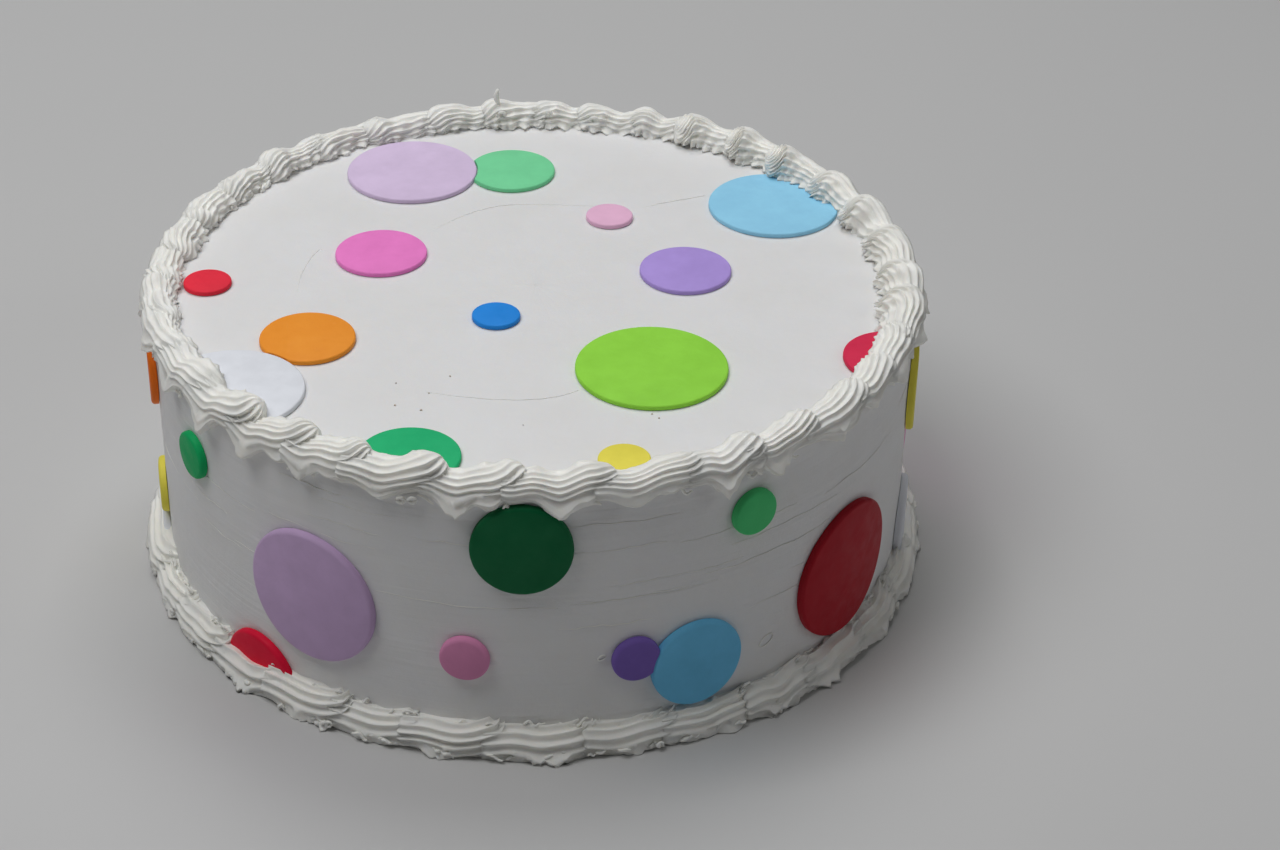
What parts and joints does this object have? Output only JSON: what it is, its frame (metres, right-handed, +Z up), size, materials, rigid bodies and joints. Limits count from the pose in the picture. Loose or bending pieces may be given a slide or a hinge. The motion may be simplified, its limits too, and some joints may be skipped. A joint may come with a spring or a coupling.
{
  "type": "polka dot cake",
  "caption": "Round single-tier iced cake, uncut, with piped shell borders round its top and base and flat coloured sugar dots on its top and side.",
  "frame": {"origin": "centre of the cake's flat base, on the surface it stands on", "axes": "+Z up along the cake's own axis, -Y towards the front that the picture shows, +X to its right"},
  "size_m": [0.2205, 0.2203, 0.0889],
  "materials": {
    "icing": "soft satin, smoothed icing",
    "dot_lavender": "matte rolled sugar paste",
    "dot_mint": "matte rolled sugar paste",
    "dot_magenta": "matte rolled sugar paste",
    "dot_pale_pink": "matte rolled sugar paste",
    "dot_light_blue": "matte rolled sugar paste",
    "dot_violet": "matte rolled sugar paste",
    "dot_red": "matte rolled sugar paste",
    "dot_blue": "matte rolled sugar paste",
    "dot_amber": "matte rolled sugar paste",
    "dot_cool_white": "matte rolled sugar paste",
    "dot_lime": "matte rolled sugar paste",
    "dot_green": "matte rolled sugar paste",
    "dot_yellow": "matte rolled sugar paste",
    "dot_crimson": "matte rolled sugar paste",
    "dot_dark_green": "matte rolled sugar paste",
    "dot_purple": "matte rolled sugar paste",
    "dot_dark_red": "matte rolled sugar paste"
  },
  "bodies": {
    "root": {"cake_body": "icing", "top_border": "icing", "base_border": "icing", "dot_top_01": "dot_lavender", "dot_top_02": "dot_mint", "dot_top_03": "dot_magenta", "dot_top_04": "dot_pale_pink", "dot_top_05": "dot_light_blue", "dot_top_06": "dot_violet", "dot_top_07": "dot_red", "dot_top_08": "dot_blue", "dot_top_09": "dot_amber", "dot_top_10": "dot_cool_white", "dot_top_11": "dot_lime", "dot_top_12": "dot_green", "dot_top_13": "dot_yellow", "dot_top_14": "dot_crimson", "dot_side_01": "dot_lavender", "dot_side_02": "dot_pale_pink", "dot_side_03": "dot_dark_green", "dot_side_04": "dot_purple", "dot_side_05": "dot_light_blue", "dot_side_06": "dot_green", "dot_side_07": "dot_dark_red", "dot_side_08": "dot_red", "dot_side_09": "dot_green", "dot_side_10": "dot_amber", "dot_side_11": "dot_yellow", "dot_side_12": "dot_cool_white", "dot_side_13": "dot_yellow", "dot_side_14": "dot_cool_white", "dot_side_15": "dot_magenta", "dot_side_16": "dot_blue", "dot_side_17": "dot_lime", "dot_side_18": "dot_violet", "dot_side_19": "dot_amber", "dot_side_20": "dot_light_blue", "dot_side_21": "dot_crimson", "dot_side_22": "dot_green", "dot_side_23": "dot_yellow", "dot_side_24": "dot_purple", "dot_side_25": "dot_red", "dot_side_26": "dot_mint"}
  },
  "joints": []
}
